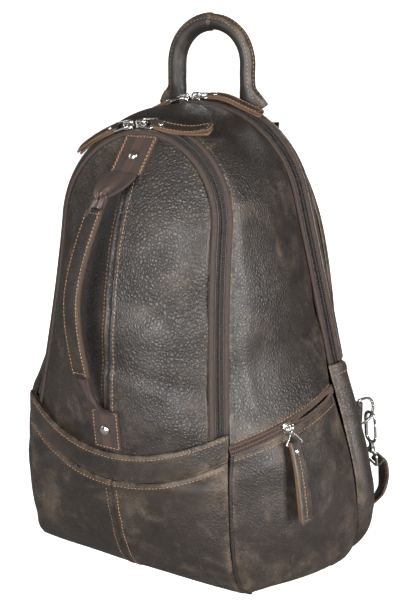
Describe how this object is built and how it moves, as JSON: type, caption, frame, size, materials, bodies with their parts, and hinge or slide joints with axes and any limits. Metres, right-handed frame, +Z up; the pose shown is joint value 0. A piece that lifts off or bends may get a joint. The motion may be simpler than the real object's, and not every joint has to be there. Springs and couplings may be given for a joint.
{
  "type": "leather backpack",
  "caption": "Soft leather backpack with arched zips, a slip pocket, side pockets, a rolled top handle, a front grip and hook-on shoulder straps.",
  "frame": {"origin": "on the ground under the middle of the base", "axes": "+Z up, the front faces -Y, +X to the right seen from the front"},
  "size_m": [0.3463, 0.2424, 0.4736],
  "materials": {
    "grained_leather": "pebbled, worn, satin",
    "smooth_leather": "smooth oiled, scratched",
    "pull_leather": "smooth with raw tan edges",
    "zip_tape": "woven",
    "coil": "satin nylon",
    "nickel": "polished nickel",
    "webbing": "ribbed with a satin stripe",
    "lining": "plain weave",
    "foam": "matte foam",
    "board": "matte"
  },
  "bodies": {
    "bag": {"front_panel_left": "grained_leather", "front_panel_right": "grained_leather", "pocket_trim": "smooth_leather", "pocket_panel_left": "smooth_leather", "pocket_panel_right": "smooth_leather", "gusset_left": "grained_leather", "gusset_right": "grained_leather", "side_pocket_left": "smooth_leather", "side_pocket_right": "smooth_leather", "rear_band_lower": "grained_leather", "rear_band_upper": "smooth_leather", "back_panel": "smooth_leather", "back_foam": "foam", "base_panel": "smooth_leather", "base_board": "board", "main_lining": "lining", "divider_panel": "lining", "front_zip_tapes": "zip_tape", "main_zip_tapes": "zip_tape", "pocket_zip_tapes": "zip_tape", "zip_coils": "coil", "top_handle_tabs": "smooth_leather", "grip_anchors": "webbing", "grip_rivets": "nickel", "strap_yoke": "smooth_leather", "ring_tabs": "smooth_leather"},
    "top_handle": {"top_handle": "smooth_leather", "top_handle_core": "foam"},
    "front_grip": {"front_grip": "smooth_leather", "grip_webbing": "webbing"},
    "front_zip_left_slider": {"front_zip_left_slider": "nickel"},
    "front_zip_left_bail": {"front_zip_left_bail": "nickel"},
    "front_zip_left_pull": {"front_zip_left_pull": "pull_leather"},
    "front_zip_right_slider": {"front_zip_right_slider": "nickel"},
    "front_zip_right_bail": {"front_zip_right_bail": "nickel"},
    "front_zip_right_pull": {"front_zip_right_pull": "pull_leather"},
    "main_zip_left_slider": {"main_zip_left_slider": "nickel"},
    "main_zip_left_bail": {"main_zip_left_bail": "nickel"},
    "main_zip_left_pull": {"main_zip_left_pull": "pull_leather"},
    "main_zip_right_slider": {"main_zip_right_slider": "nickel"},
    "main_zip_right_bail": {"main_zip_right_bail": "nickel"},
    "main_zip_right_pull": {"main_zip_right_pull": "pull_leather"},
    "pocket_zip_right_slider": {"pocket_zip_right_slider": "nickel"},
    "pocket_zip_right_bail": {"pocket_zip_right_bail": "nickel"},
    "pocket_zip_right_pull": {"pocket_zip_right_pull": "pull_leather"},
    "pocket_zip_left_slider": {"pocket_zip_left_slider": "nickel"},
    "pocket_zip_left_bail": {"pocket_zip_left_bail": "nickel"},
    "pocket_zip_left_pull": {"pocket_zip_left_pull": "pull_leather"},
    "shoulder_strap_right": {"strap_pad_right": "smooth_leather", "strap_tail_right": "smooth_leather", "strap_metal_right": "nickel"},
    "d_ring_right": {"d_ring_right": "nickel"},
    "snap_hook_right": {"snap_hook_right": "nickel"},
    "hook_gate_right": {"hook_gate_right": "nickel"},
    "shoulder_strap_left": {"strap_pad_left": "smooth_leather", "strap_tail_left": "smooth_leather", "strap_metal_left": "nickel"},
    "d_ring_left": {"d_ring_left": "nickel"},
    "snap_hook_left": {"snap_hook_left": "nickel"},
    "hook_gate_left": {"hook_gate_left": "nickel"}
  },
  "joints": [
    {"name": "front_zip_left_travel", "type": "hinge", "parent": "bag", "child": "front_zip_left_slider", "pos_m": [0, -0.05436, 0.3045], "axis": [0, -0.9885, 0.1512], "range_deg": [0, 48]},
    {"name": "front_zip_left_bail_flip", "type": "hinge", "parent": "front_zip_left_slider", "child": "front_zip_left_bail", "pos_m": [-0.01626, -0.04538, 0.38469], "axis": [-0.1398, 0.8038, 0.5782], "range_deg": [0, 60]},
    {"name": "front_zip_left_pull_fold", "type": "hinge", "parent": "front_zip_left_bail", "child": "front_zip_left_pull", "pos_m": [-0.0288, -0.0451, 0.38127], "axis": [-0.1398, 0.8038, 0.5782], "range_deg": [0, 20]},
    {"name": "front_zip_right_travel", "type": "hinge", "parent": "bag", "child": "front_zip_right_slider", "pos_m": [0, -0.05436, 0.3045], "axis": [0, 0.9885, -0.1512], "range_deg": [0, 48]},
    {"name": "front_zip_right_bail_flip", "type": "hinge", "parent": "front_zip_right_slider", "child": "front_zip_right_bail", "pos_m": [-0.00387, -0.04515, 0.38621], "axis": [0.0333, -0.8058, -0.5913], "range_deg": [0, 60]},
    {"name": "front_zip_right_pull_fold", "type": "hinge", "parent": "front_zip_right_bail", "child": "front_zip_right_pull", "pos_m": [0.0091, -0.04439, 0.3859], "axis": [0.0333, -0.8058, -0.5913], "range_deg": [0, 20]},
    {"name": "main_zip_left_travel", "type": "hinge", "parent": "bag", "child": "main_zip_left_slider", "pos_m": [0, 0.04779, 0.3005], "axis": [0, -0.9998, -0.02], "range_deg": [0, 48]},
    {"name": "main_zip_left_bail_flip", "type": "hinge", "parent": "main_zip_left_slider", "child": "main_zip_left_bail", "pos_m": [-0.01915, 0.04457, 0.40181], "axis": [-0.0481, 0.9606, 0.2736], "range_deg": [0, 60]},
    {"name": "main_zip_left_pull_fold", "type": "hinge", "parent": "main_zip_left_bail", "child": "main_zip_left_pull", "pos_m": [-0.03167, 0.04494, 0.39833], "axis": [-0.0481, 0.9606, 0.2736], "range_deg": [0, 20]},
    {"name": "main_zip_right_travel", "type": "hinge", "parent": "bag", "child": "main_zip_right_slider", "pos_m": [0, 0.04779, 0.3005], "axis": [0, 0.9998, 0.02], "range_deg": [0, 48]},
    {"name": "main_zip_right_bail_flip", "type": "hinge", "parent": "main_zip_right_slider", "child": "main_zip_right_bail", "pos_m": [-0.00666, 0.04454, 0.40338], "axis": [0.0167, -0.9606, -0.2775], "range_deg": [0, 60]},
    {"name": "main_zip_right_pull_fold", "type": "hinge", "parent": "main_zip_right_bail", "child": "main_zip_right_pull", "pos_m": [0.00634, 0.04484, 0.40313], "axis": [0.0167, -0.9606, -0.2775], "range_deg": [0, 20]},
    {"name": "pocket_zip_right_travel", "type": "hinge", "parent": "bag", "child": "pocket_zip_right_slider", "pos_m": [-0.01015, 0.02108, 0.13151], "axis": [-0.1789, -0.1737, 0.9684], "range_deg": [-14, 19]},
    {"name": "pocket_zip_right_bail_swing", "type": "hinge", "parent": "pocket_zip_right_slider", "child": "pocket_zip_right_bail", "pos_m": [0.13475, -0.03776, 0.14772], "axis": [-0.3763, -0.9265, 0], "range_deg": [0, 70]},
    {"name": "pocket_zip_right_pull_fold", "type": "hinge", "parent": "pocket_zip_right_bail", "child": "pocket_zip_right_pull", "pos_m": [0.13885, -0.03943, 0.13549], "axis": [-0.3763, -0.9265, 0], "range_deg": [0, 30]},
    {"name": "pocket_zip_left_travel", "type": "hinge", "parent": "bag", "child": "pocket_zip_left_slider", "pos_m": [0.01015, 0.02108, 0.13151], "axis": [-0.1789, 0.1737, -0.9684], "range_deg": [-31, 2]},
    {"name": "pocket_zip_left_bail_swing", "type": "hinge", "parent": "pocket_zip_left_slider", "child": "pocket_zip_left_bail", "pos_m": [-0.14422, 0.0061, 0.15733], "axis": [-0.0966, 0.9953, 0], "range_deg": [0, 70]},
    {"name": "pocket_zip_left_pull_fold", "type": "hinge", "parent": "pocket_zip_left_bail", "child": "pocket_zip_left_pull", "pos_m": [-0.14937, 0.0056, 0.1454], "axis": [-0.0966, 0.9953, 0], "range_deg": [0, 30]},
    {"name": "top_handle_flop", "type": "hinge", "parent": "bag", "child": "top_handle", "pos_m": [0, 0.0595, 0.403], "axis": [1, 0, 0], "range_deg": [-20, 8]},
    {"name": "front_grip_swing", "type": "hinge", "parent": "bag", "child": "front_grip", "pos_m": [-0.003, -0.116, 0.167], "axis": [0.0056, 0.1789, 0.9839], "range_deg": [-30, 30]},
    {"name": "shoulder_strap_right_swing", "type": "hinge", "parent": "bag", "child": "shoulder_strap_right", "pos_m": [0.042, 0.074, 0.372], "axis": [0.3889, 0.0019, -0.9213], "range_deg": [0, 15]},
    {"name": "d_ring_right_turn", "type": "hinge", "parent": "bag", "child": "d_ring_right", "pos_m": [0.145, 0.0745, 0.128], "axis": [0, 0, -1], "range_deg": [0, 12]},
    {"name": "snap_hook_right_swivel", "type": "hinge", "parent": "shoulder_strap_right", "child": "snap_hook_right", "pos_m": [0.15001, 0.08991, 0.1198], "axis": [0.0498, 0.0796, -0.9956], "range_deg": [-15, 2]},
    {"name": "hook_gate_right_press", "type": "hinge", "parent": "snap_hook_right", "child": "hook_gate_right", "pos_m": [0.15641, 0.08873, 0.10245], "axis": [-0.4191, -0.9032, -0.0932], "range_deg": [0, 20]},
    {"name": "shoulder_strap_left_swing", "type": "hinge", "parent": "bag", "child": "shoulder_strap_left", "pos_m": [-0.042, 0.074, 0.372], "axis": [0.3889, -0.0019, 0.9213], "range_deg": [0, 15]},
    {"name": "d_ring_left_turn", "type": "hinge", "parent": "bag", "child": "d_ring_left", "pos_m": [-0.145, 0.0745, 0.128], "axis": [0, 0, 1], "range_deg": [0, 12]},
    {"name": "snap_hook_left_swivel", "type": "hinge", "parent": "shoulder_strap_left", "child": "snap_hook_left", "pos_m": [-0.15001, 0.08991, 0.1198], "axis": [0.0498, -0.0796, 0.9956], "range_deg": [-15, 2]},
    {"name": "hook_gate_left_press", "type": "hinge", "parent": "snap_hook_left", "child": "hook_gate_left", "pos_m": [-0.15641, 0.08873, 0.10245], "axis": [-0.4191, 0.9032, 0.0932], "range_deg": [0, 20]}
  ],
  "couplings": [
    {"joint": "d_ring_right_turn", "follows": "shoulder_strap_right_swing", "ratio": 0.8},
    {"joint": "d_ring_left_turn", "follows": "shoulder_strap_left_swing", "ratio": 0.8}
  ]
}
